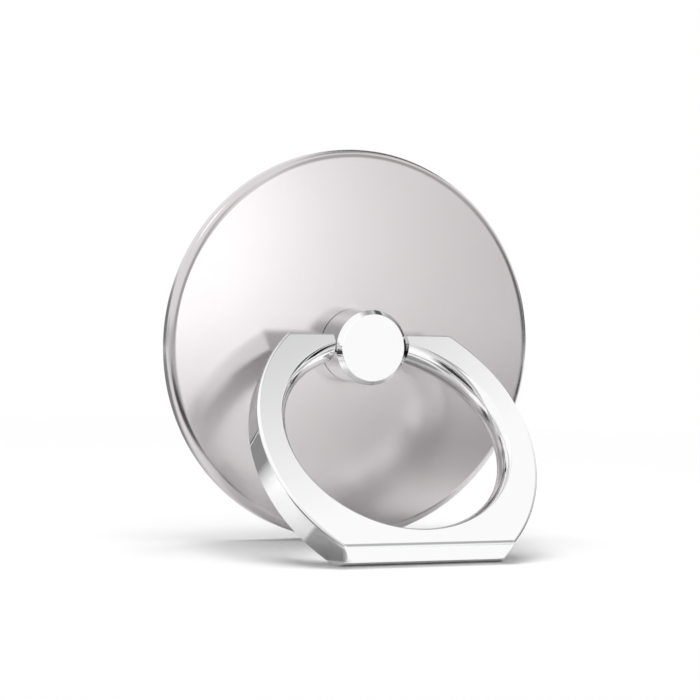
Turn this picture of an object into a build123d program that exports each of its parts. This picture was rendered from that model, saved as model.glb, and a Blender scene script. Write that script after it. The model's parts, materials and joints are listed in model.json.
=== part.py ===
from build123d import *
import os
from math import acos, asin, atan2, cos, degrees, hypot, radians, sin, sqrt

# Phone ring holder in millimetres, standing on the plate's lower edge and the ring's foot.
# +Z is up, the hinge runs along X and the ring is in front, towards -Y.
# In the plate's own frame the front face is at height 0 and heights grow towards the ring.

# Base plate
plate_diameter = 38.0
plate_thickness = 2.0
plate_front_round = 0.85
plate_back_round = 0.5
plate_lean = 0.85  # degrees that the plate's top leans towards the ring

# Swivel hub
head_diameter = 7.2
head_height = 4.5  # above the plate's front face
head_bevel_width = 0.4
head_bevel_height = 0.5
head_lift = 0.1  # gap under the head, bridged by the swivel washer
shank_diameter = 3.6
tenon_diameter = 2.8
tenon_across_flats = 2.2
rivet_diameter = 3.8
rivet_height = 0.2
rivet_round = 0.12
rivet_room = 0.1  # between the riveted end and the back cover

# Washers, spring and back pocket
swivel_washer_inset = 0.4  # washer's edge inside the head's edge
swivel_washer_thickness = 0.3
spring_diameter = 9.4
spring_margin = 0.2  # radial room between the spring and the shank
spring_thickness = 0.2
spring_height = 0.4  # as loaded, from the plate's web to the retaining washer
retaining_washer_diameter = 7.0
retaining_washer_thickness = 0.3
pocket_margin = 0.5  # room around the spring
cover_thickness = 0.25
cover_ledge = 1.2

# Finger ring
finger_hole_width = 22.6  # at the front and back edges, wider than the waist
finger_hole_length = 21.65  # from the pin's axis to the foot
ring_side_wall = 2.3  # beside the hole, at the ring's widest
ring_foot_wall = 1.6  # under the hole, to the foot's corners
ring_foot_width = 16.9
ring_widest_drop = 0.6  # ring's widest point, below the hole's middle
ring_head = 0.47  # flat top edges, above the pin's axis
ring_thickness = 3.1
foot_crown_radius = 2.35  # the foot is rounded across the ring's thickness
hole_crown_radius = 2.1  # and so is the hole's wall
hole_edge_round = 0.1
ring_front_bevel = 0.28
ring_back_bevel = 0.12

# Hinge
fold_gap = 1.15  # between the plate and the ring folded flat on it
pin_diameter = 0.8
pin_bevel = 0.1
pin_grip = 3.0  # depth of the blind hole in the left arm
pin_recess = 0.6  # pin's right end, inside the right arm's outer wall

# Adhesive pad
pad_inset = 1.0  # pad's edge inside the plate's edge
pad_thickness = 0.4

# Fits
running_clearance = 0.03  # radial, shank in plate and pin in hub
loose_clearance = 0.05  # radial, washers and cover in their seats
axial_clearance = 0.02  # between faces that turn on each other
arm_clearance = 0.22  # each arm's end from the head's side

# Stack through the plate, as heights in the plate's frame
plate_radius = plate_diameter / 2
head_radius = head_diameter / 2
swivel_washer_radius = head_radius - swivel_washer_inset
washer_seat_depth = swivel_washer_thickness - head_lift + axial_clearance
cover_front = -plate_thickness + cover_thickness
rivet_back = cover_front + rivet_room
washer_back = rivet_back + rivet_height
shoulder = washer_back + retaining_washer_thickness
spring_back = shoulder + axial_clearance
web_back = spring_back + spring_height
shank_radius = shank_diameter / 2
shank_bore_radius = shank_radius + running_clearance
pocket_radius = spring_diameter / 2 + pocket_margin
cover_radius = pocket_radius + cover_ledge

# Ring outline, measured down from the pin's axis
ring_half = ring_thickness / 2
hinge_height = ring_half + fold_gap
finger_hole_drop = finger_hole_length / 2
ring_width = finger_hole_width + 2 * ring_side_wall
ring_reach = finger_hole_length + ring_foot_wall
ring_side_drop = finger_hole_drop + ring_widest_drop
foot_narrowing = (ring_width - ring_foot_width) / 2
ring_side_radius = ((ring_reach - ring_side_drop) ** 2 + foot_narrowing**2) / (2 * foot_narrowing)
arm_end = head_radius + arm_clearance  # half the gap between the arms
hole_crown = hole_crown_radius - sqrt(hole_crown_radius**2 - ring_half**2)

# Stance: the plate's front round and the ring's crowned foot both touch the floor
lean_cos = cos(radians(plate_lean))
lean_sin = sin(radians(plate_lean))
round_centre = plate_radius - plate_front_round
face_rise = round_centre * lean_cos + plate_front_round * (1 - lean_sin)
hinge_rise = face_rise - hinge_height * lean_sin
crown_setback = sqrt(foot_crown_radius**2 - ring_half**2)
crown_centre = ring_reach - crown_setback
crown_angle = asin(ring_half / foot_crown_radius)
ring_tilt = acos((hinge_rise - foot_crown_radius) / crown_centre)
if ring_tilt > crown_angle:  # past its crown the foot stands on its back edge
    ring_tilt = acos(hinge_rise / hypot(ring_reach, ring_half)) + atan2(ring_half, ring_reach)
tilt_cos = cos(ring_tilt)
tilt_sin = sin(ring_tilt)

# The origin is on the floor, midway between the foot's front and the pad's back
pad_radius = plate_radius - pad_inset
front_reach = hinge_height * lean_cos + ring_reach * tilt_sin + ring_half * tilt_cos
back_reach = (plate_thickness + pad_thickness) * lean_cos + pad_radius * lean_sin
face_centre = Vector(0, (front_reach - back_reach) / 2, face_rise)
plate_normal = Vector(0, -lean_cos, -lean_sin)
hinge_centre = face_centre + plate_normal * hinge_height
plate_frame = Plane(face_centre, x_dir=(1, 0, 0), z_dir=plate_normal)
ring_frame = Plane(hinge_centre, x_dir=(1, 0, 0), z_dir=(0, -tilt_cos, tilt_sin))


def turned(points, rounds=()):
    # Solid turned about the plate's axis from (radius, height) points, rounded at (point number, radius)
    outline = make_face(Polyline(*points, close=True))
    for index, radius in rounds:
        corner = outline.vertices().sort_by_distance((*points[index], 0))[0]
        outline = fillet(corner, radius)
    return revolve(Plane.XZ * outline, Axis.Z)


def flat_disc(outline, bottom, top):
    return Pos(0, 0, bottom) * extrude(outline, top - bottom)


def flatted(radius, across):
    # Circle with two flats, for the keyed end of the shank
    return Circle(radius) & Rectangle(2 * radius, across)


def along_hinge(radius, start, end):
    return Pos(start, 0, 0) * extrude(Plane.YZ * Circle(radius), end - start)


def base_plate():
    seat_radius = swivel_washer_radius + loose_clearance
    ledge_radius = cover_radius + loose_clearance
    points = [
        (shank_bore_radius, -washer_seat_depth),
        (seat_radius, -washer_seat_depth),
        (seat_radius, 0),
        (plate_radius, 0),
        (plate_radius, -plate_thickness),
        (ledge_radius, -plate_thickness),
        (ledge_radius, cover_front),
        (pocket_radius, cover_front),
        (pocket_radius, web_back),
        (shank_bore_radius, web_back),
    ]
    return turned(points, [(3, plate_front_round), (4, plate_back_round)])


def swivel_hub():
    rivet_radius = rivet_diameter / 2
    head = turned([
        (0, head_height),
        (head_radius - head_bevel_width, head_height),
        (head_radius, head_height - head_bevel_height),
        (head_radius, head_lift),
        (shank_radius, head_lift),
        (shank_radius, shoulder),
        (0, shoulder),
    ])
    tenon = flat_disc(flatted(tenon_diameter / 2, tenon_across_flats), washer_back, shoulder)
    rivet_points = [
        (0, washer_back),
        (rivet_radius, washer_back),
        (rivet_radius, rivet_back),
        (0, rivet_back),
    ]
    rivet = turned(rivet_points, [(2, rivet_round)])
    bore = along_hinge(pin_diameter / 2 + running_clearance, -head_diameter, head_diameter)
    return head + tenon + rivet - Pos(0, 0, hinge_height) * bore


def swivel_washer():
    outline = Circle(swivel_washer_radius) - Circle(shank_bore_radius)
    return flat_disc(outline, -washer_seat_depth, head_lift - axial_clearance)


def disc_spring():
    # The cone's outer edge bears on the plate's web and its inner edge on the retaining washer
    outer = spring_diameter / 2
    inner = shank_radius + spring_margin
    return turned([
        (outer, web_back),
        (outer, web_back - spring_thickness),
        (inner, spring_back),
        (inner, spring_back + spring_thickness),
    ])


def retaining_washer():
    hole = flatted(tenon_diameter / 2 + loose_clearance, tenon_across_flats + 2 * loose_clearance)
    return flat_disc(Circle(retaining_washer_diameter / 2) - hole, washer_back, shoulder)


def side_at(height):
    # Half width of the ring's outline at a height above the pin's axis
    centre = ring_width / 2 - ring_side_radius
    return centre + sqrt(ring_side_radius**2 - (height + ring_side_drop) ** 2)


def finger_hole():
    # Waisted plug that leaves the hole's wall crowned: turned to the hole's length, then drawn out to its width
    reach = finger_hole_length / 2
    waist = ThreePointArc((reach, -ring_half), (reach - hole_crown, 0), (reach, ring_half))
    ends = Polyline(
        (reach, ring_half),
        (reach, ring_thickness),
        (0, ring_thickness),
        (0, -ring_thickness),
        (reach, -ring_thickness),
        (reach, -ring_half),
    )
    plug = revolve(Plane.XZ * make_face([waist, ends]), Axis.Z)
    plug = scale(plug, by=(finger_hole_width / finger_hole_length, 1, 1))
    return Pos(0, -finger_hole_drop) * plug


def finger_ring():
    # In the ring's frame +Y runs from the foot up to the pin's axis and +Z out of the front face
    side_shift = ring_side_radius - ring_width / 2
    lens = Pos(side_shift, -ring_side_drop) * Circle(ring_side_radius)
    lens &= Pos(-side_shift, -ring_side_drop) * Circle(ring_side_radius)
    hub_gap = Rectangle(2 * arm_end, finger_hole_drop)
    body = extrude(lens - hub_gap, ring_half, both=True) - finger_hole()

    # Side view: flat top edges, and a foot crowned across the thickness
    foot_front = (-ring_reach, ring_half)
    foot_back = (-ring_reach, -ring_half)
    flats = Polyline(foot_front, (ring_head, ring_half), (ring_head, -ring_half), foot_back)
    crown = ThreePointArc(foot_back, (-crown_centre - foot_crown_radius, 0), foot_front)
    side_view = make_face([flats, crown])
    body &= extrude(Plane.YZ * side_view, ring_width, both=True)

    # The hole's edges are rounded, and the outline's are bevelled all but the foot's back edge
    by_depth = body.faces().sort_by(Axis.Z)
    hole_edges = (by_depth[-1].edges() + by_depth[0].edges()).filter_by(GeomType.BSPLINE)
    body = fillet(hole_edges, hole_edge_round)
    front_edges = body.faces().sort_by(Axis.Z)[-1].edges()
    front_rim = front_edges.filter_by(GeomType.CIRCLE) + front_edges.filter_by(Axis.X)
    body = chamfer(front_rim, ring_front_bevel)
    back_edges = body.faces().sort_by(Axis.Z)[0].edges()
    top_edges = back_edges.filter_by(Axis.X).sort_by(Axis.Y)[1:]
    body = chamfer(back_edges.filter_by(GeomType.CIRCLE) + top_edges, ring_back_bevel)

    # The pin goes in from the right arm's outer wall and stops in a blind hole in the left arm
    pin_hole = along_hinge(pin_diameter / 2, -arm_end - pin_grip, ring_width / 2)
    return body - pin_hole


def hinge_pin():
    right_end = side_at(0) - pin_recess
    pin = along_hinge(pin_diameter / 2, -arm_end - pin_grip, right_end)
    return chamfer(pin.edges().filter_by(GeomType.CIRCLE), pin_bevel)


def back_cover():
    return flat_disc(Circle(cover_radius), -plate_thickness, cover_front)


def adhesive_pad():
    return flat_disc(Circle(pad_radius), -plate_thickness - pad_thickness, -plate_thickness)


pieces = {
    "base_plate": plate_frame * base_plate(),
    "swivel_hub": plate_frame * swivel_hub(),
    "swivel_washer": plate_frame * swivel_washer(),
    "disc_spring": plate_frame * disc_spring(),
    "retaining_washer": plate_frame * retaining_washer(),
    "finger_ring": ring_frame * finger_ring(),
    "hinge_pin": ring_frame * hinge_pin(),
    "back_cover": plate_frame * back_cover(),
    "adhesive_pad": plate_frame * adhesive_pad(),
}

os.makedirs("parts", exist_ok=True)
for node, piece in pieces.items():
    export_step(piece, f"parts/{node}.step")

pad_back = face_centre - plate_normal * (plate_thickness + pad_thickness)
print("hinge centre", hinge_centre, "face centre", face_centre)
print("plate normal", plate_normal, "pad back centre", pad_back)
print("ring tilt from vertical", round(degrees(ring_tilt), 4))
print("ring opened from the plate", round(degrees(ring_tilt) + plate_lean, 4))
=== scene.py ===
import json
from math import asin, atan2, cos, pi, radians, sin, sqrt, tan

import bmesh
import bpy
from mathutils import Matrix, Vector


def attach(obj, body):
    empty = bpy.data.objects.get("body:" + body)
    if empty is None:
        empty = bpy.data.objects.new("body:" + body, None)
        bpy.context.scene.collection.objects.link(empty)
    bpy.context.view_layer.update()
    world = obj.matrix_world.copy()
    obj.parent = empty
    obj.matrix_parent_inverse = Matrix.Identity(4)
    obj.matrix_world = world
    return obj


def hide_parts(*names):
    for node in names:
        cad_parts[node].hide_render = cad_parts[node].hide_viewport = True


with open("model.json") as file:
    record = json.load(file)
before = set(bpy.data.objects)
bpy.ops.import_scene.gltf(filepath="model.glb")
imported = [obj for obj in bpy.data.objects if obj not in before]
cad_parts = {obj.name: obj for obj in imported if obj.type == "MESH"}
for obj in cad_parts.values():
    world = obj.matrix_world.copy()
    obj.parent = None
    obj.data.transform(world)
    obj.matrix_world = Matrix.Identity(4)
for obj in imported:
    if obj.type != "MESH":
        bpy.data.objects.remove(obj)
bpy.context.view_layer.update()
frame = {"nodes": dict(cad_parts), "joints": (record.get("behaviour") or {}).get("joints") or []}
nodes = frame["nodes"]
joints = {joint["name"]: joint for joint in frame["joints"]}
scene = bpy.context.scene
mm = 0.001
print("frame loaded, nodes:", ", ".join(sorted(nodes)))


def linear(hexColour):  # sRGB hex to the linear values that shaders take
    out = []
    for i in (1, 3, 5):
        part = int(hexColour[i:i + 2], 16) / 255
        out.append(part / 12.92 if part <= 0.04045 else ((part + 0.055) / 1.055) ** 2.4)
    return (*out, 1.0)


def addNode(tree, kind, inputs=None, **settings):  # one node with its settings, values and links
    node = tree.nodes.new(kind)
    for name, value in settings.items():
        setattr(node, name, value)
    for socket, value in (inputs or {}).items():
        if isinstance(value, bpy.types.NodeSocket):
            tree.links.new(value, node.inputs[socket])
        else:
            node.inputs[socket].default_value = value
    return node


def newMaterial(name):
    material = bpy.data.materials.new(name)
    material.use_nodes = True
    tree = material.node_tree
    tree.nodes.clear()
    return material, tree


def axesAt(origin, normal):  # local X stays on the hinge line, local Z is the normal
    z = Vector(normal).normalized()
    x = Vector((1, 0, 0))
    y = z.cross(x)
    place = Matrix((x, y, z)).transposed().to_4x4()
    place.translation = Vector(origin)
    return place


# Where the plate and the ring stand, read from the joints
faceCentre = Vector(joints["hub_swivel"]["pos_m"])
plateNormal = Vector(joints["hub_swivel"]["axis"])
hingeCentre = Vector(joints["ring_flip"]["pos_m"])
opened = radians(joints["ring_flip"]["range_deg"][1])  # from the plate round to the ring
plateAxes = axesAt(faceCentre, plateNormal)
ringAxes = axesAt(hingeCentre, Matrix.Rotation(-opened, 3, "X") @ plateNormal)

# Camera: matched to the photograph's outlines
view = {
    "place": (-75.989, -170.821, 24.627),  # mm
    "yaw": 0.39935,  # radians to the right of straight on
    "pitch": -0.03136,  # radians upward
    "roll": 0.02876,
    "lens": 102.857,  # mm on a 36 mm square
}
camData = bpy.data.cameras.new("photoCamera")
camData.lens = view["lens"]
camData.sensor_width = 36
camData.clip_start = 0.002
camera = bpy.data.objects.new("photoCamera", camData)
look = Vector((sin(view["yaw"]) * cos(view["pitch"]), cos(view["yaw"]) * cos(view["pitch"]),
               sin(view["pitch"])))
side = Vector((cos(view["yaw"]), -sin(view["yaw"]), 0))
rise = side.cross(look)
across = cos(view["roll"]) * side + sin(view["roll"]) * rise
upward = cos(view["roll"]) * rise - sin(view["roll"]) * side
camera.matrix_world = Matrix((across, upward, -look)).transposed().to_4x4()
camera.matrix_world.translation = Vector(view["place"]) * mm
scene.collection.objects.link(camera)
scene.camera = camera
scene.view_settings.view_transform = "Standard"
print("camera set")


# Mirror plating: polished zinc alloy under bright chrome. Reads as white and black reflections with crisp
# edges; polishing leaves a slow waviness and a faint haze that comes and goes.
chrome = {"colour": "#FAFAFB", "roughness": (0.025, 0.06), "hazePatch": 2.5, "wave": 1.8,
          "waveDepth": 0.0006}
mirrorPlating, tree = newMaterial("mirrorChromePlating")
coords = addNode(tree, "ShaderNodeTexCoord")
haze = addNode(tree, "ShaderNodeTexNoise", {
    "Vector": coords.outputs["Object"], "Scale": 1 / (chrome["hazePatch"] * mm), "Detail": 4.0})
hazeLevel = addNode(tree, "ShaderNodeMapRange", {
    "Value": haze.outputs["Fac"], "From Min": 0.35, "From Max": 0.7,
    "To Min": chrome["roughness"][0], "To Max": chrome["roughness"][1]})
wave = addNode(tree, "ShaderNodeTexNoise", {
    "Vector": coords.outputs["Object"], "Scale": 1 / (chrome["wave"] * mm), "Detail": 1.0})
waveBump = addNode(tree, "ShaderNodeBump", {
    "Height": wave.outputs["Fac"], "Strength": 1.0, "Distance": chrome["waveDepth"] * mm})
shader = addNode(tree, "ShaderNodeBsdfPrincipled", {
    "Base Color": linear(chrome["colour"]), "Metallic": 1.0,
    "Roughness": hazeLevel.outputs["Result"], "Normal": waveBump.outputs["Normal"]})
addNode(tree, "ShaderNodeOutputMaterial", {"Surface": shader.outputs["BSDF"]})

# Satin plating: blasted zinc alloy under pearl nickel. The blast leaves a fine even grain that blurs every
# reflection into a soft sheen, with a warm grey tint.
satin = {"colour": "#D8D3D4", "fleck": "#DCD8D9", "roughness": (0.2, 0.24), "grain": 0.1,
         "grainDepth": 0.001, "cloud": 6.0}
satinPlating, tree = newMaterial("satinPearlNickel")
coords = addNode(tree, "ShaderNodeTexCoord")
grain = addNode(tree, "ShaderNodeTexNoise", {
    "Vector": coords.outputs["Object"], "Scale": 1 / (satin["grain"] * mm), "Detail": 3.0})
cloud = addNode(tree, "ShaderNodeTexNoise", {
    "Vector": coords.outputs["Object"], "Scale": 1 / (satin["cloud"] * mm), "Detail": 3.0})
tint = addNode(tree, "ShaderNodeMix", {
    0: cloud.outputs["Fac"], 6: linear(satin["colour"]), 7: linear(satin["fleck"])}, data_type="RGBA")
sheen = addNode(tree, "ShaderNodeMapRange", {
    "Value": grain.outputs["Fac"], "From Min": 0.3, "From Max": 0.7,
    "To Min": satin["roughness"][0], "To Max": satin["roughness"][1]})
grainBump = addNode(tree, "ShaderNodeBump", {
    "Height": grain.outputs["Fac"], "Strength": 0.6, "Distance": satin["grainDepth"] * mm})
shader = addNode(tree, "ShaderNodeBsdfPrincipled", {
    "Base Color": tint.outputs[2], "Metallic": 1.0,
    "Roughness": sheen.outputs["Result"], "Normal": grainBump.outputs["Normal"]})
addNode(tree, "ShaderNodeOutputMaterial", {"Surface": shader.outputs["BSDF"]})

# Bright drawn steel for the pin, spring, washer and cover: hairline drawing marks along X over a soft sheen
steel = {"colour": "#BDBBB8", "roughness": (0.2, 0.38), "hair": 0.03, "hairLength": 1.5, "hairDepth": 0.001}
brightSteel, tree = newMaterial("brightDrawnSteel")
coords = addNode(tree, "ShaderNodeTexCoord")
drawn = addNode(tree, "ShaderNodeMapping", {
    "Vector": coords.outputs["Object"], "Scale": (steel["hair"] / steel["hairLength"], 1, 1)})
hairs = addNode(tree, "ShaderNodeTexNoise", {
    "Vector": drawn.outputs["Vector"], "Scale": 1 / (steel["hair"] * mm), "Detail": 2.0})
hairSheen = addNode(tree, "ShaderNodeMapRange", {
    "Value": hairs.outputs["Fac"], "From Min": 0.3, "From Max": 0.7,
    "To Min": steel["roughness"][0], "To Max": steel["roughness"][1]})
hairBump = addNode(tree, "ShaderNodeBump", {
    "Height": hairs.outputs["Fac"], "Strength": 0.5, "Distance": steel["hairDepth"] * mm})
shader = addNode(tree, "ShaderNodeBsdfPrincipled", {
    "Base Color": linear(steel["colour"]), "Metallic": 1.0,
    "Roughness": hairSheen.outputs["Result"], "Normal": hairBump.outputs["Normal"]})
addNode(tree, "ShaderNodeOutputMaterial", {"Surface": shader.outputs["BSDF"]})

# Natural acetal for the swivel washer: milky and waxy, with the faint mottle of a moulded sheet
acetal = {"colour": "#E9E6DC", "mottleColour": "#F0EEE7", "roughness": 0.42, "mottle": 0.6, "ior": 1.48}
naturalAcetal, tree = newMaterial("naturalAcetal")
coords = addNode(tree, "ShaderNodeTexCoord")
mottle = addNode(tree, "ShaderNodeTexNoise", {
    "Vector": coords.outputs["Object"], "Scale": 1 / (acetal["mottle"] * mm), "Detail": 3.0})
milky = addNode(tree, "ShaderNodeMix", {
    0: mottle.outputs["Fac"], 6: linear(acetal["colour"]), 7: linear(acetal["mottleColour"])}, data_type="RGBA")
shader = addNode(tree, "ShaderNodeBsdfPrincipled", {
    "Base Color": milky.outputs[2], "Roughness": acetal["roughness"], "IOR": acetal["ior"],
    "Subsurface Weight": 0.2, "Subsurface Scale": 0.3 * mm})
addNode(tree, "ShaderNodeOutputMaterial", {"Surface": shader.outputs["BSDF"]})

# Closed-cell acrylic foam for the pad: near black and matt, with tiny cells that catch the light
foam = {"colour": "#1B1B1D", "cellColour": "#29292B", "roughness": (0.55, 0.8), "cell": 0.09,
        "cellDepth": 0.02, "ior": 1.47}
acrylicFoam, tree = newMaterial("closedCellAcrylicFoam")
coords = addNode(tree, "ShaderNodeTexCoord")
cells = addNode(tree, "ShaderNodeTexVoronoi", {
    "Vector": coords.outputs["Object"], "Scale": 1 / (foam["cell"] * mm)})
cellTint = addNode(tree, "ShaderNodeMix", {
    0: cells.outputs["Distance"], 6: linear(foam["colour"]), 7: linear(foam["cellColour"])}, data_type="RGBA")
cellSheen = addNode(tree, "ShaderNodeMapRange", {
    "Value": cells.outputs["Distance"], "From Min": 0.1, "From Max": 0.7,
    "To Min": foam["roughness"][0], "To Max": foam["roughness"][1]})
cellBump = addNode(tree, "ShaderNodeBump", {
    "Height": cells.outputs["Distance"], "Strength": 0.5, "Distance": foam["cellDepth"] * mm})
shader = addNode(tree, "ShaderNodeBsdfPrincipled", {
    "Base Color": cellTint.outputs[2], "Roughness": cellSheen.outputs["Result"], "IOR": foam["ior"],
    "Normal": cellBump.outputs["Normal"]})
addNode(tree, "ShaderNodeOutputMaterial", {"Surface": shader.outputs["BSDF"]})

for name in ("hinge_pin", "disc_spring", "retaining_washer", "back_cover"):
    nodes[name].data.materials.clear()
    nodes[name].data.materials.append(brightSteel)
nodes["swivel_washer"].data.materials.clear()
nodes["swivel_washer"].data.materials.append(naturalAcetal)
print("finishes made")


def roundedLine(corners, steps, hold=0.03):  # (radius, height, round) in mm to points along the line
    line = []
    for i, (r, h, bend) in enumerate(corners):
        here = Vector((r, h))
        if not bend:
            line.append(here)
            continue
        before = (Vector(corners[i - 1][:2]) - here).normalized()
        after = (Vector(corners[i + 1][:2]) - here).normalized()
        half = before.angle(after) / 2
        setback = bend / tan(half)
        middle = here + (before + after).normalized() * (bend / sin(half))
        first = here + before * setback - middle
        sweep = first.angle_signed(here + after * setback - middle)
        line.append(here + before * (setback + hold))  # a loop that keeps the flat beside the round flat
        for k in range(steps + 1):
            line.append(middle + Matrix.Rotation(-sweep * k / steps, 2) @ first)
        line.append(here + after * (setback + hold))
    return line


# Turned pieces: a half outline carried round the swivel's axis
turnedTree = bpy.data.node_groups.new("turnedPiece", "GeometryNodeTree")
outlineSocket = turnedTree.interface.new_socket("Outline", in_out="INPUT", socket_type="NodeSocketGeometry")
segmentSocket = turnedTree.interface.new_socket("Segments", in_out="INPUT", socket_type="NodeSocketInt")
placeSocket = turnedTree.interface.new_socket("Place", in_out="INPUT", socket_type="NodeSocketVector")
turnSocket = turnedTree.interface.new_socket("Turn", in_out="INPUT", socket_type="NodeSocketRotation")
finishSocket = turnedTree.interface.new_socket("Finish", in_out="INPUT", socket_type="NodeSocketMaterial")
turnedTree.interface.new_socket("Piece", in_out="OUTPUT", socket_type="NodeSocketGeometry")
given = addNode(turnedTree, "NodeGroupInput")
halfOutline = addNode(turnedTree, "GeometryNodeMeshToCurve", {"Mesh": given.outputs["Outline"]})
points = addNode(turnedTree, "ShaderNodeMath", {0: given.outputs["Segments"], 1: 1.0}, operation="ADD")
angleLine = addNode(turnedTree, "GeometryNodeCurvePrimitiveLine", {"End": (0, 0, 2 * pi)})
angles = addNode(turnedTree, "GeometryNodeResampleCurve", {
    "Curve": angleLine.outputs["Curve"], "Count": points.outputs[0]})
strip = addNode(turnedTree, "GeometryNodeCurveToMesh", {
    "Curve": angles.outputs["Curve"], "Profile Curve": halfOutline.outputs["Curve"]})
where = addNode(turnedTree, "GeometryNodeInputPosition")
parts = addNode(turnedTree, "ShaderNodeSeparateXYZ", {0: where.outputs["Position"]})
cosine = addNode(turnedTree, "ShaderNodeMath", {0: parts.outputs["Z"]}, operation="COSINE")
sine = addNode(turnedTree, "ShaderNodeMath", {0: parts.outputs["Z"]}, operation="SINE")
outX = addNode(turnedTree, "ShaderNodeMath", {
    0: parts.outputs["X"], 1: cosine.outputs[0]}, operation="MULTIPLY")
outY = addNode(turnedTree, "ShaderNodeMath", {
    0: parts.outputs["X"], 1: sine.outputs[0]}, operation="MULTIPLY")
turnedPlace = addNode(turnedTree, "ShaderNodeCombineXYZ", {
    "X": outX.outputs[0], "Y": outY.outputs[0], "Z": parts.outputs["Y"]})
wrapped = addNode(turnedTree, "GeometryNodeSetPosition", {
    "Geometry": strip.outputs["Mesh"], "Position": turnedPlace.outputs["Vector"]})
closed = addNode(turnedTree, "GeometryNodeMergeByDistance", {
    "Geometry": wrapped.outputs["Geometry"], "Distance": 0.0008 * mm})
moved = addNode(turnedTree, "GeometryNodeTransform", {
    "Geometry": closed.outputs["Geometry"], "Translation": given.outputs["Place"],
    "Rotation": given.outputs["Turn"]})
real = addNode(turnedTree, "GeometryNodeRealizeInstances", {"Geometry": moved.outputs["Geometry"]})
finished = addNode(turnedTree, "GeometryNodeSetMaterial", {
    "Geometry": real.outputs["Geometry"], "Material": given.outputs["Finish"]})
addNode(turnedTree, "NodeGroupOutput", {"Piece": finished.outputs["Geometry"]})


def plainMesh(piece):  # modifiers into the mesh, faces outward, creases sharp
    bpy.context.view_layer.update()
    evaluated = piece.evaluated_get(bpy.context.evaluated_depsgraph_get())
    mesh = bpy.data.meshes.new_from_object(evaluated)
    piece.modifiers.clear()
    piece.data = mesh
    work = bmesh.new()
    work.from_mesh(mesh)
    bmesh.ops.remove_doubles(work, verts=work.verts, dist=0.0008 * mm)
    bmesh.ops.recalc_face_normals(work, faces=work.faces)
    openEdges = sum(1 for edge in work.edges if len(edge.link_faces) != 2)
    work.to_mesh(mesh)
    work.free()
    mesh.shade_smooth()
    mesh.set_sharp_from_angle(angle=radians(22))
    print(piece.name, "faces", len(mesh.polygons), "open edges", openEdges)
    return piece


def turnedPiece(name, outline, segments, finish):
    mesh = bpy.data.meshes.new(name)
    mesh.from_pydata([(p.x * mm, p.y * mm, 0) for p in outline],
                     [(i, i + 1) for i in range(len(outline) - 1)], [])
    piece = bpy.data.objects.new(name, mesh)
    scene.collection.objects.link(piece)
    modifier = piece.modifiers.new("turned", "NODES")
    modifier.node_group = turnedTree
    modifier[segmentSocket.identifier] = segments
    modifier[placeSocket.identifier] = faceCentre
    modifier[turnSocket.identifier] = plateAxes.to_euler()
    modifier[finishSocket.identifier] = finish
    return plainMesh(piece)


def drilled(piece, radius, start, end):  # round hole along the hinge line, in mm from the hub's middle
    drillMesh = bpy.data.meshes.new("drill")
    work = bmesh.new()
    place = (Matrix.Translation(hingeCentre + Vector(((start + end) / 2 * mm, 0, 0)))
             @ Matrix.Rotation(pi / 2, 4, "Y"))
    bmesh.ops.create_cone(work, cap_ends=True, segments=48, radius1=radius * mm, radius2=radius * mm,
                          depth=(end - start) * mm, matrix=place)
    work.to_mesh(drillMesh)
    work.free()
    drill = bpy.data.objects.new("drill", drillMesh)
    scene.collection.objects.link(drill)
    cut = piece.modifiers.new("drilled", "BOOLEAN")
    cut.operation = "DIFFERENCE"
    cut.solver = "EXACT"
    cut.object = drill
    plainMesh(piece)
    bpy.data.objects.remove(drill)


# Base plate: rounded front rim, seat for the swivel washer, stepped pocket behind
plate = {"radius": 19.0, "thickness": 2.0, "frontRound": 0.85, "backRound": 0.5, "bore": 1.83, "seat": 3.25,
         "seatDepth": 0.22, "web": 0.73, "pocket": 5.2, "ledge": 6.45, "cover": 0.25, "segments": 320}
back = -plate["thickness"]
plateLine = roundedLine([
    (plate["bore"], -plate["seatDepth"], 0), (plate["seat"], -plate["seatDepth"], 0), (plate["seat"], 0, 0),
    (plate["radius"], 0, plate["frontRound"]), (plate["radius"], back, plate["backRound"]),
    (plate["ledge"], back, 0), (plate["ledge"], back + plate["cover"], 0),
    (plate["pocket"], back + plate["cover"], 0), (plate["pocket"], -plate["web"], 0),
    (plate["bore"], -plate["web"], 0), (plate["bore"], -plate["seatDepth"], 0)], steps=14)
plateBody = turnedPiece("plateBody", plateLine, plate["segments"], satinPlating)
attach(plateBody, "plate")
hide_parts("base_plate")

# Swivel hub: bevelled head, shank and riveted end
hub = {"radius": 3.6, "height": 4.5, "bevelWidth": 0.4, "bevelHeight": 0.5, "lift": 0.1, "edge": 0.04,
       "shank": 1.8, "shoulder": -1.15, "tenon": 1.1, "washerBack": -1.45, "rivet": 1.9, "rivetBack": -1.65,
       "bore": 0.43, "segments": 192}
hubLine = roundedLine([
    (0, hub["height"], 0), (hub["radius"] - hub["bevelWidth"], hub["height"], hub["edge"]),
    (hub["radius"], hub["height"] - hub["bevelHeight"], hub["edge"]), (hub["radius"], hub["lift"], 0),
    (hub["shank"], hub["lift"], 0), (hub["shank"], hub["shoulder"], 0), (hub["tenon"], hub["shoulder"], 0),
    (hub["tenon"], hub["washerBack"], 0), (hub["rivet"], hub["washerBack"], 0),
    (hub["rivet"], hub["rivetBack"], 0), (0, hub["rivetBack"], 0)], steps=4, hold=0.02)
hubHead = turnedPiece("hubHead", hubLine, hub["segments"], mirrorPlating)
drilled(hubHead, hub["bore"], -hub["radius"] - 1, hub["radius"] + 1)
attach(hubHead, "hub")
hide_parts("swivel_hub")

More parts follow.
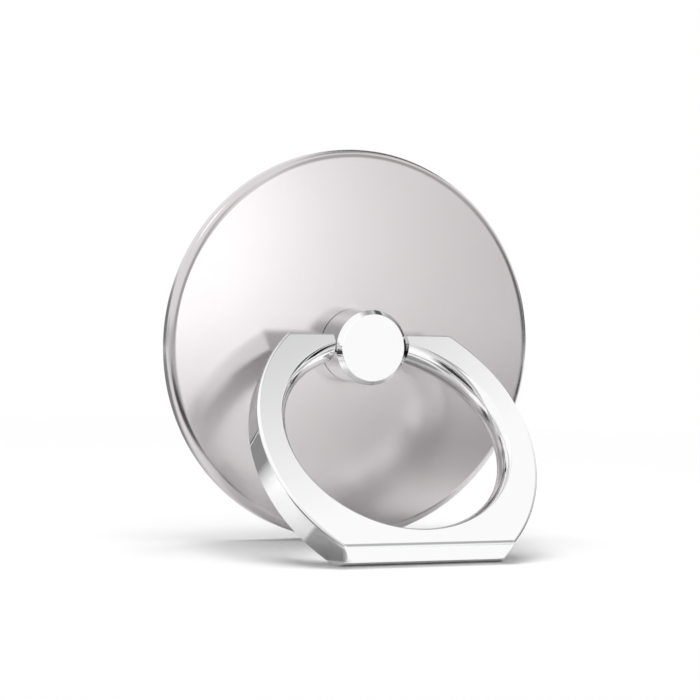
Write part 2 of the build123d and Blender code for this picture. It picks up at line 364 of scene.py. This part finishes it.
# Finger ring, in its own frame: X along the hinge, Y up from the foot to the pin, Z out of the front face
ring = {"holeWidth": 22.6, "holeLength": 21.65, "sideWall": 2.3, "footWall": 1.6, "footWidth": 16.9,
        "widestDrop": 0.6, "head": 0.47, "thickness": 3.1, "footCrown": 2.35, "holeCrown": 2.1,
        "holeEdge": 0.1, "frontBevel": 0.28, "backBevel": 0.12, "armEnd": 3.82, "pin": 0.4, "pinGrip": 3.0}
half = ring["thickness"] / 2
holeDrop = ring["holeLength"] / 2
reach = ring["holeLength"] + ring["footWall"]
ringWidth = ring["holeWidth"] + 2 * ring["sideWall"]
sideDrop = holeDrop + ring["widestDrop"]
narrowing = (ringWidth - ring["footWidth"]) / 2
sideRadius = ((reach - sideDrop) ** 2 + narrowing ** 2) / (2 * narrowing)
sideShift = sideRadius - ringWidth / 2
crownCentre = reach - sqrt(ring["footCrown"] ** 2 - half ** 2)


def sideX(y, inset):  # half width of the outline at a height
    return sqrt((sideRadius - inset) ** 2 - (y + sideDrop) ** 2) - sideShift


def outlineAt(z, inset, footInset):  # stations: arm end, top, side arc, foot, then the mirror image
    top = ring["head"] - inset
    foot = -crownCentre - sqrt(ring["footCrown"] ** 2 - z ** 2) + footInset
    cornerTop, cornerFoot = sideX(top, inset), sideX(foot, inset)
    right = [(ring["armEnd"] + (cornerTop - ring["armEnd"]) * k / 6, top) for k in range(6)]
    start = atan2(top + sideDrop, cornerTop + sideShift)
    end = atan2(foot + sideDrop, cornerFoot + sideShift)
    for k in range(130):
        angle = start + (end - start) * k / 130
        right.append(((sideRadius - inset) * cos(angle) - sideShift,
                      (sideRadius - inset) * sin(angle) - sideDrop))
    right += [(cornerFoot * (1 - k / 24), foot) for k in range(25)]
    left = [(-x, y) for x, y in reversed(right[:-1])]
    return [(x, y, z) for x, y in right + left]


bevel = ring["frontBevel"]
stations = outlineAt(half, bevel + 0.03, bevel + 0.03)  # just inside the edge, so that the face stays flat
halfWidth, halfLength = ring["holeWidth"] / 2, ring["holeLength"] / 2
stationTurn = [atan2(x / halfWidth, -(y + holeDrop) / halfLength) for x, y, z in stations]  # 0 at the foot


def holePoint(turn, offset):  # on the hole's ellipse, grown by the offset
    grow = 1 + offset / halfLength
    return Vector((halfWidth * grow * sin(turn), -halfLength * grow * cos(turn) - holeDrop))


def holeAt(z, offset):  # stations along the hole, ending in the arms' end planes
    low, high = pi / 2, pi
    for k in range(40):
        turn = (low + high) / 2
        if holePoint(turn, offset).x > ring["armEnd"]:
            low = turn
        else:
            high = turn
    scale = low / stationTurn[0]
    return [(*holePoint(turn * scale, offset), z) for turn in stationTurn]


# Across the hole's wall: (offset, z) from the front face round the edge and over the crown to the back face
crown, edgeRound = ring["holeCrown"], ring["holeEdge"]
crownEnd = asin(half / crown)
crownBase = crown * cos(crownEnd)
tuck = edgeRound * tan((pi / 2 - crownEnd) / 2)  # how far the edge's round runs on either side
wallLine = [(tuck + 0.03, half)]
for k in range(7):
    angle = (pi / 2 - crownEnd) * k / 6
    wallLine.append((tuck - edgeRound * sin(angle), half - edgeRound * (1 - cos(angle))))
for k in range(1, 14):
    angle = (crownEnd - tuck / crown) * (1 - k / 14)
    wallLine.append((crownBase - crown * cos(angle), crown * sin(angle)))
wallLine += [(crownBase - crown, 0)] + [(offset, -z) for offset, z in reversed(wallLine)]
loops = [holeAt(z, offset) for offset, z in wallLine]
loops.append(outlineAt(-half, ring["backBevel"], 0))
wallStart, wallEnd = ring["backBevel"] - half, half - bevel
for k in range(15):
    loops.append(outlineAt(wallStart + (wallEnd - wallStart) * k / 14, 0, 0))
for k in range(1, 7):  # polishing leaves the front bevel round
    inset = bevel * (1 - cos(radians(15 * k)))
    loops.append(outlineAt(wallEnd + bevel * sin(radians(15 * k)), inset, inset))
loops.append(stations)

ringMesh = bpy.data.meshes.new("ringBody")
count = len(stations)
verts = [Vector(p) * mm for loop in loops for p in loop]
faces = []
for row in range(len(loops)):
    nextRow = (row + 1) % len(loops)
    for k in range(count - 1):
        faces.append((row * count + k, row * count + k + 1, nextRow * count + k + 1, nextRow * count + k))
faces.append([row * count for row in range(len(loops))])
faces.append([row * count + count - 1 for row in reversed(range(len(loops)))])
ringMesh.from_pydata(verts, [], faces)
ringMesh.transform(ringAxes)
ringMesh.materials.append(mirrorPlating)
ringBody = bpy.data.objects.new("ringBody", ringMesh)
scene.collection.objects.link(ringBody)
plainMesh(ringBody)
drilled(ringBody, ring["pin"], -ring["armEnd"] - ring["pinGrip"], ringWidth / 2)  # blind in the left arm
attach(ringBody, "ring")
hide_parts("finger_ring")

# Adhesive pad: die-cut foam disc, whose edge is pinched by the cutter and eases back between the faces
pad = {"radius": 18.0, "front": -2.0, "back": -2.4, "edge": 0.07, "pinch": 0.05, "segments": 256}
middle = (pad["front"] + pad["back"]) / 2
padLine = roundedLine([
    (0, pad["front"], 0), (pad["radius"] - pad["pinch"], pad["front"], pad["edge"]),
    (pad["radius"], middle, 0.1), (pad["radius"] - pad["pinch"], pad["back"], pad["edge"]),
    (0, pad["back"], 0)], steps=6, hold=0.01)
foamPad = turnedPiece("foamPad", padLine, pad["segments"], acrylicFoam)
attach(foamPad, "plate")
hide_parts("adhesive_pad")

# Floor: white paper near the object (its light-table glow is set to none), which runs out into an evenly lit
# white cove
floorLook = {"colour": "#FCFCFC", "glow": 0.0, "paper": 45, "cove": 200, "size": 2.0}  # mm, size in m
floorMaterial, tree = newMaterial("whitePaperCove")
coords = addNode(tree, "ShaderNodeTexCoord")
radius = addNode(tree, "ShaderNodeVectorMath", {0: coords.outputs["Object"]}, operation="LENGTH")
away = addNode(tree, "ShaderNodeMapRange", {
    "Value": radius.outputs["Value"], "From Min": floorLook["paper"] * mm, "From Max": floorLook["cove"] * mm,
    "To Min": floorLook["glow"]}, interpolation_type="SMOOTHSTEP")
paper = addNode(tree, "ShaderNodeBsdfDiffuse", {"Color": linear(floorLook["colour"])})
cove = addNode(tree, "ShaderNodeEmission", {"Strength": 1.0})
blend = addNode(tree, "ShaderNodeMixShader", {
    0: away.outputs["Result"], 1: paper.outputs["BSDF"], 2: cove.outputs["Emission"]})
addNode(tree, "ShaderNodeOutputMaterial", {"Surface": blend.outputs["Shader"]})
floorMesh = bpy.data.meshes.new("floor")
edge = floorLook["size"]
floorMesh.from_pydata([(-edge, -edge, 0), (edge, -edge, 0), (edge, edge, 0), (-edge, edge, 0)], [],
                      [(0, 1, 2, 3)])
floorMesh.materials.append(floorMaterial)
floor = bpy.data.objects.new("floor", floorMesh)
scene.collection.objects.link(floor)

studio = {"ambient": 0.4}  # how much of the white room the matt surfaces get
world = bpy.data.worlds.new("studio")
scene.world = world
world.use_nodes = True
tree = world.node_tree
tree.nodes.clear()
rays = addNode(tree, "ShaderNodeLightPath")
level = addNode(tree, "ShaderNodeMapRange", {
    "Value": rays.outputs["Is Diffuse Ray"], "To Min": 1.0, "To Max": studio["ambient"]})
background = addNode(tree, "ShaderNodeBackground", {
    "Color": (1, 1, 1, 1), "Strength": level.outputs["Result"]})
addNode(tree, "ShaderNodeOutputWorld", {"Surface": background.outputs["Background"]})

softboxes = {  # aim is degrees to the right of the front and degrees up, seen from the object
    "overhead": {"aim": (175, 86), "distance": 0.4, "size": (0.3, 0.3), "power": 1.3, "mirrored": False},
    "key": {"aim": (10.5, 1), "distance": 0.3, "size": (0.1, 0.07), "power": 0.023, "mirrored": True},
    "rimLight": {"aim": (-106, 48), "distance": 0.4, "size": (0.1, 0.1), "power": 0.03, "mirrored": True},
}
# Black cards seen only in reflections paint dark reflections into the metal; they block no light and cast no
# shade. The Mat cards lie on the floor and paint darker floor, painted shade, into what the metal reflects.
flags = {  # cards that only reflections see; core is how much of the radius has full depth
    "ceilingFlag": {"aim": (92, 75), "distance": 0.5, "size": (0.185, 0.185), "core": 0.0, "depth": 0.855},
    "backRightFlag": {"aim": (132, 50), "distance": 0.4, "size": (0.17, 0.13), "core": 0.75, "depth": 0.9},
    "rightFlag": {"aim": (65.5, 4), "distance": 0.35, "size": (0.3, 0.13), "core": 0.4, "depth": 0.85},
    "upperRightFlag": {"aim": (62, 28), "distance": 0.35, "size": (0.22, 0.15), "core": 0.4, "depth": 0.45},
    "edgeFlag": {"aim": (118, 3), "distance": 0.4, "size": (0.16, 0.05), "core": 0.8, "depth": 1.0},
    "topFlag": {"aim": (27, 36), "distance": 0.35, "size": (0.14, 0.18), "core": 0.55, "depth": 0.5},
    "frontTopFlag": {"aim": (-19, 12), "distance": 0.35, "size": (0.14, 0.1), "core": 0.6, "depth": 0.55},
    "cornerFlag": {"aim": (-24, 33), "distance": 0.35, "size": (0.1, 0.08), "core": 0.5, "depth": 0.4},
    "leftFlag": {"aim": (-42, -0.5), "distance": 0.35, "size": (0.36, 0.03), "core": 0.85, "depth": 0.5},
    "leftBackFlag": {"aim": (-112, 0), "distance": 0.35, "size": (0.22, 0.05), "core": 0.6, "depth": 0.45},
    "backFlag": {"aim": (-162, 2), "distance": 0.4, "size": (0.2, 0.08), "core": 0.6, "depth": 0.8},
    "rightMat": {"aim": (72, 0), "distance": 0.13, "size": (0.07, 0.1), "core": 0.5, "depth": 1.0},
    "leftMat": {"aim": (-46, 0), "distance": 0.2, "size": (0.17, 0.18), "core": 0.8, "depth": 0.32},
    "lensMat": {"aim": (-57, 0), "distance": 0.06, "size": (0.03, 0.046), "core": 0.8, "depth": 0.95},
    "frontMat": {"aim": (37, 0), "distance": 0.12, "size": (0.055, 0.1), "core": 0.5, "depth": 0.8},
    # painted shadow: dark floor cards under and beside the ring, standing in for the shade beneath it, seen
    # only in reflections of the ring, hub and plate
    "innerShadowMat": {"aim": (90, 0), "distance": 0.0065, "size": (0.0055, 0.013), "core": 0.8, "depth": 0.6},
    "underShadowMat": {"aim": (-51.8, 0), "distance": 0.0131, "size": (0.0034, 0.006), "core": 0.8, "depth": 0.5,
                 "lift": 0.5},
    "backMat": {"aim": (-155, 0), "distance": 0.16, "size": (0.07, 0.145), "core": 0.8, "depth": 0.74},
    # painted white reflection: a white card glowing at strength 1, no lamp, lying just in front of the foot and
    # seen only in its reflections
    "footGlowMat": {"aim": (0, 0), "distance": 0.0125, "size": (0.0125, 0.004), "core": 0.9, "depth": 1.0,
                "lift": 0.4, "white": True},
}
centre = Vector((0, 0, 0.015))
for name, box in {**softboxes, **flags}.items():
    azimuth, height = (radians(a) for a in box["aim"])
    toward = Vector((sin(azimuth) * cos(height), -cos(azimuth) * cos(height), sin(height)))
    if name in softboxes:
        lamp = bpy.data.lights.new(name, "AREA")
        lamp.shape = "RECTANGLE"
        lamp.size, lamp.size_y = box["size"]
        lamp.energy = box["power"]
        holder = bpy.data.objects.new(name, lamp)
        holder.visible_glossy = box["mirrored"]
    else:
        cardMaterial, tree = newMaterial(name)
        coords = addNode(tree, "ShaderNodeTexCoord")
        radius = addNode(tree, "ShaderNodeVectorMath", {0: coords.outputs["Object"]}, operation="LENGTH")
        density = addNode(tree, "ShaderNodeMapRange", {
            "Value": radius.outputs["Value"], "From Min": box["core"], "From Max": 1.0,
            "To Min": box["depth"], "To Max": 0.0})
        clear = addNode(tree, "ShaderNodeBsdfTransparent")
        # white cards glow at strength 1 as a painted white reflection; the rest are black and paint dark
        # reflections
        face = addNode(tree, "ShaderNodeEmission", {"Strength": 1.0 if box.get("white") else 0.0})
        soft = addNode(tree, "ShaderNodeMixShader", {
            0: density.outputs["Result"], 1: clear.outputs["BSDF"], 2: face.outputs["Emission"]})
        addNode(tree, "ShaderNodeOutputMaterial", {"Surface": soft.outputs["Shader"]})
        card = bpy.data.meshes.new(name)
        card.from_pydata([(-1, -1, 0), (1, -1, 0), (1, 1, 0), (-1, 1, 0)], [], [(0, 1, 2, 3)])
        card.materials.append(cardMaterial)
        holder = bpy.data.objects.new(name, card)
        holder.scale = (*box["size"], 1)
        holder.visible_shadow = False
        holder.visible_diffuse = False
    # the Mat cards lie on the floor, where they paint dark floor, painted shadow or a painted white reflection
    # into what the metal reflects
    if name.endswith("Mat"):  # these lie on the floor
        holder.location = toward * box["distance"] + Vector((0, 0, box.get("lift", 0.3) * mm))
        holder.rotation_euler = (0, 0, azimuth)
    else:
        holder.location = centre + toward * box["distance"]
        holder.rotation_euler = toward.to_track_quat("Z", "Y").to_euler()
    holder.visible_camera = False
    scene.collection.objects.link(holder)
print("stage and light set")
